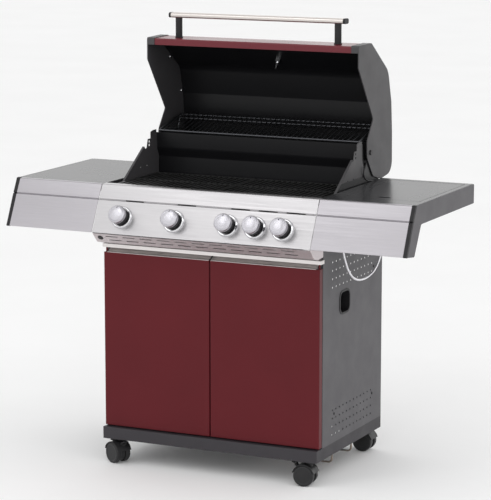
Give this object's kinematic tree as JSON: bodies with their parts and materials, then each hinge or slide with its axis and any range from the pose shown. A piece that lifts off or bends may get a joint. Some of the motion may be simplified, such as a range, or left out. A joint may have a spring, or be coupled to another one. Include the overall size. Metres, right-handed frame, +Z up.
{
  "type": "gas barbecue grill",
  "caption": "Gas barbecue on a two-door wheeled cabinet: hinged hood lid with handle and thermometer, lift-out grates, folding warming rack, side shelves, side burner and push-turn knobs.",
  "frame": {"origin": "on the floor under the middle of the grill, taken as the centre of its bounding box with the lid open", "axes": "+X to the user's right seen from the front, +Y to the back, +Z up"},
  "size_m": [1.3, 0.6475, 1.343],
  "materials": {
    "side_grey": "satin grey powder coat",
    "base_grey": "satin dark grey powder coat",
    "door_red": "gloss dark red",
    "lid_red": "gloss dark red enamel",
    "panel_silver": "satin silver paint",
    "shelf_silver": "satin silver paint",
    "shelf_black": "gloss dark enamel",
    "cap_grey": "satin dark grey casting",
    "enamel_black": "black enamel",
    "plastic_black": "black plastic",
    "steel": "brushed steel",
    "steel_dark": "dull steel",
    "chrome": "polished",
    "rack_chrome": "dulled plating",
    "black_zinc": "black zinc",
    "strip_aluminium": "satin anodised",
    "strip_grey": "satin grey",
    "grate_iron": "matt enamelled",
    "brass": "satin",
    "knob_silver": "silver plated plastic",
    "hose_braid": "braided sleeve",
    "wheel_black": "black nylon",
    "handle_silver": "satin champagne"
  },
  "bodies": {
    "cart": {"base_tray": "base_grey", "bottle_cradle": "steel_dark", "side_panels": "side_grey", "plastic_inserts": "plastic_black", "rear_panel": "side_grey", "front_crossbar": "strip_aluminium", "control_panel": "panel_silver", "vent_strip": "strip_grey", "shelf_fronts": "shelf_silver", "shelf_trims": "plastic_black", "shelf_ends": "side_grey", "shelf_top_left": "shelf_black", "shelf_top_right": "shelf_black", "firebox": "enamel_black", "firebox_sides": "cap_grey", "inner_rails": "steel_dark", "burners": "steel", "flame_tamers": "steel", "gas_manifold": "steel", "gas_valves": "brass", "knob_bezels": "chrome", "side_burner": "steel_dark", "pan_support": "grate_iron", "side_burner_hose": "hose_braid", "fasteners": "black_zinc"},
    "lid": {"lid_ends": "cap_grey", "lid_shell": "lid_red", "lid_liner": "enamel_black", "thermometer": "chrome", "handle_mounts": "plastic_black", "handle_bar": "handle_silver"},
    "warming_rack": {"warming_rack": "rack_chrome"},
    "door_left": {"door_left": "door_red", "door_strip_left": "strip_aluminium"},
    "door_right": {"door_right": "door_red", "door_strip_right": "strip_aluminium"},
    "cooking_grate_left": {"cooking_grate_left": "grate_iron"},
    "cooking_grate_right": {"cooking_grate_right": "grate_iron"},
    "side_burner_lid": {"side_burner_lid": "shelf_black"},
    "drip_tray": {"drip_tray": "steel"},
    "valve_stem_1": {"valve_stem_1": "brass"},
    "knob_1": {"knob_1": "knob_silver"},
    "valve_stem_2": {"valve_stem_2": "brass"},
    "knob_2": {"knob_2": "knob_silver"},
    "valve_stem_3": {"valve_stem_3": "brass"},
    "knob_3": {"knob_3": "knob_silver"},
    "valve_stem_4": {"valve_stem_4": "brass"},
    "knob_4": {"knob_4": "knob_silver"},
    "valve_stem_5": {"valve_stem_5": "brass"},
    "knob_5": {"knob_5": "knob_silver"},
    "caster_front_left": {"caster_front_left": "wheel_black"},
    "wheels_front_left": {"wheels_front_left": "wheel_black"},
    "brake_front_left": {"brake_front_left": "wheel_black"},
    "caster_front_right": {"caster_front_right": "wheel_black"},
    "wheels_front_right": {"wheels_front_right": "wheel_black"},
    "brake_front_right": {"brake_front_right": "wheel_black"},
    "caster_rear_left": {"caster_rear_left": "wheel_black"},
    "wheels_rear_left": {"wheels_rear_left": "wheel_black"},
    "caster_rear_right": {"caster_rear_right": "wheel_black"},
    "wheels_rear_right": {"wheels_rear_right": "wheel_black"}
  },
  "joints": [
    {"name": "lid_hinge", "type": "hinge", "parent": "cart", "child": "lid", "pos_m": [0, 0.15, 0.94], "axis": [-1, 0, 0], "range_deg": [-88, 0]},
    {"name": "warming_rack_hinge", "type": "hinge", "parent": "lid", "child": "warming_rack", "pos_m": [0, 0.225, 0.968], "axis": [-1, 0, 0], "range_deg": [0, 101.5]},
    {"name": "door_left_hinge", "type": "hinge", "parent": "cart", "child": "door_left", "pos_m": [-0.349, -0.218, 0.4], "axis": [0, 0, -1], "range_deg": [0, 100]},
    {"name": "door_right_hinge", "type": "hinge", "parent": "cart", "child": "door_right", "pos_m": [0.349, -0.218, 0.4], "axis": [0, 0, 1], "range_deg": [0, 100]},
    {"name": "cooking_grate_left_lift", "type": "slide", "parent": "cart", "child": "cooking_grate_left", "axis": [0, 0, 1], "range_m": [0, 0.1]},
    {"name": "cooking_grate_right_lift", "type": "slide", "parent": "cart", "child": "cooking_grate_right", "axis": [0, 0, 1], "range_m": [0, 0.1]},
    {"name": "side_burner_lid_hinge", "type": "hinge", "parent": "cart", "child": "side_burner_lid", "pos_m": [0.513, 0.21, 0.847], "axis": [-1, 0, 0], "range_deg": [0, 95]},
    {"name": "drip_tray_slide", "type": "slide", "parent": "cart", "child": "drip_tray", "axis": [0, 1, 0], "range_m": [0, 0.3]},
    {"name": "knob_1_push", "type": "slide", "parent": "cart", "child": "valve_stem_1", "axis": [0, 0.9018, -0.4322], "range_m": [0, 0.004], "stiffness_N_per_m": 600},
    {"name": "knob_1_turn", "type": "hinge", "parent": "valve_stem_1", "child": "knob_1", "pos_m": [-0.2647, -0.29634, 0.77064], "axis": [0, -0.9018, 0.4322], "range_deg": [0, 180]},
    {"name": "knob_2_push", "type": "slide", "parent": "cart", "child": "valve_stem_2", "axis": [0, 0.9018, -0.4322], "range_m": [0, 0.004], "stiffness_N_per_m": 600},
    {"name": "knob_2_turn", "type": "hinge", "parent": "valve_stem_2", "child": "knob_2", "pos_m": [-0.0919, -0.29634, 0.77064], "axis": [0, -0.9018, 0.4322], "range_deg": [0, 180]},
    {"name": "knob_3_push", "type": "slide", "parent": "cart", "child": "valve_stem_3", "axis": [0, 0.9018, -0.4322], "range_m": [0, 0.004], "stiffness_N_per_m": 600},
    {"name": "knob_3_turn", "type": "hinge", "parent": "valve_stem_3", "child": "knob_3", "pos_m": [0.0825, -0.29634, 0.77064], "axis": [0, -0.9018, 0.4322], "range_deg": [0, 180]},
    {"name": "knob_4_push", "type": "slide", "parent": "cart", "child": "valve_stem_4", "axis": [0, 0.9018, -0.4322], "range_m": [0, 0.004], "stiffness_N_per_m": 600},
    {"name": "knob_4_turn", "type": "hinge", "parent": "valve_stem_4", "child": "knob_4", "pos_m": [0.1713, -0.29634, 0.77064], "axis": [0, -0.9018, 0.4322], "range_deg": [0, 180]},
    {"name": "knob_5_push", "type": "slide", "parent": "cart", "child": "valve_stem_5", "axis": [0, 0.9018, -0.4322], "range_m": [0, 0.004], "stiffness_N_per_m": 600},
    {"name": "knob_5_turn", "type": "hinge", "parent": "valve_stem_5", "child": "knob_5", "pos_m": [0.2596, -0.29634, 0.77064], "axis": [0, -0.9018, 0.4322], "range_deg": [0, 180]},
    {"name": "caster_front_left_swivel", "type": "hinge", "parent": "cart", "child": "caster_front_left", "pos_m": [-0.326, -0.223, 0.073], "axis": [0, 0, 1], "continuous": true},
    {"name": "wheels_front_left_spin", "type": "hinge", "parent": "caster_front_left", "child": "wheels_front_left", "pos_m": [-0.3115, -0.22976, 0.031], "axis": [0.4226, 0.9063, 0], "continuous": true},
    {"name": "brake_front_left_lever", "type": "hinge", "parent": "caster_front_left", "child": "brake_front_left", "pos_m": [-0.28658, -0.24138, 0.0605], "axis": [0.4226, 0.9063, 0], "range_deg": [0, 20]},
    {"name": "caster_front_right_swivel", "type": "hinge", "parent": "cart", "child": "caster_front_right", "pos_m": [0.326, -0.223, 0.073], "axis": [0, 0, 1], "continuous": true},
    {"name": "wheels_front_right_spin", "type": "hinge", "parent": "caster_front_right", "child": "wheels_front_right", "pos_m": [0.31006, -0.22439, 0.031], "axis": [0.0872, -0.9962, 0], "continuous": true},
    {"name": "brake_front_right_lever", "type": "hinge", "parent": "caster_front_right", "child": "brake_front_right", "pos_m": [0.28267, -0.22679, 0.0605], "axis": [0.0872, -0.9962, 0], "range_deg": [0, 20]},
    {"name": "caster_rear_left_swivel", "type": "hinge", "parent": "cart", "child": "caster_rear_left", "pos_m": [-0.326, 0.223, 0.073], "axis": [0, 0, 1], "continuous": true},
    {"name": "wheels_rear_left_spin", "type": "hinge", "parent": "caster_rear_left", "child": "wheels_rear_left", "pos_m": [-0.31006, 0.22439, 0.031], "axis": [-0.0872, 0.9962, 0], "continuous": true},
    {"name": "caster_rear_right_swivel", "type": "hinge", "parent": "cart", "child": "caster_rear_right", "pos_m": [0.326, 0.223, 0.073], "axis": [0, 0, 1], "continuous": true},
    {"name": "wheels_rear_right_spin", "type": "hinge", "parent": "caster_rear_right", "child": "wheels_rear_right", "pos_m": [0.31, 0.223, 0.031], "axis": [0, -1, 0], "continuous": true}
  ],
  "couplings": [
    {"joint": "warming_rack_hinge", "follows": "lid_hinge", "ratio": -1.152}
  ]
}
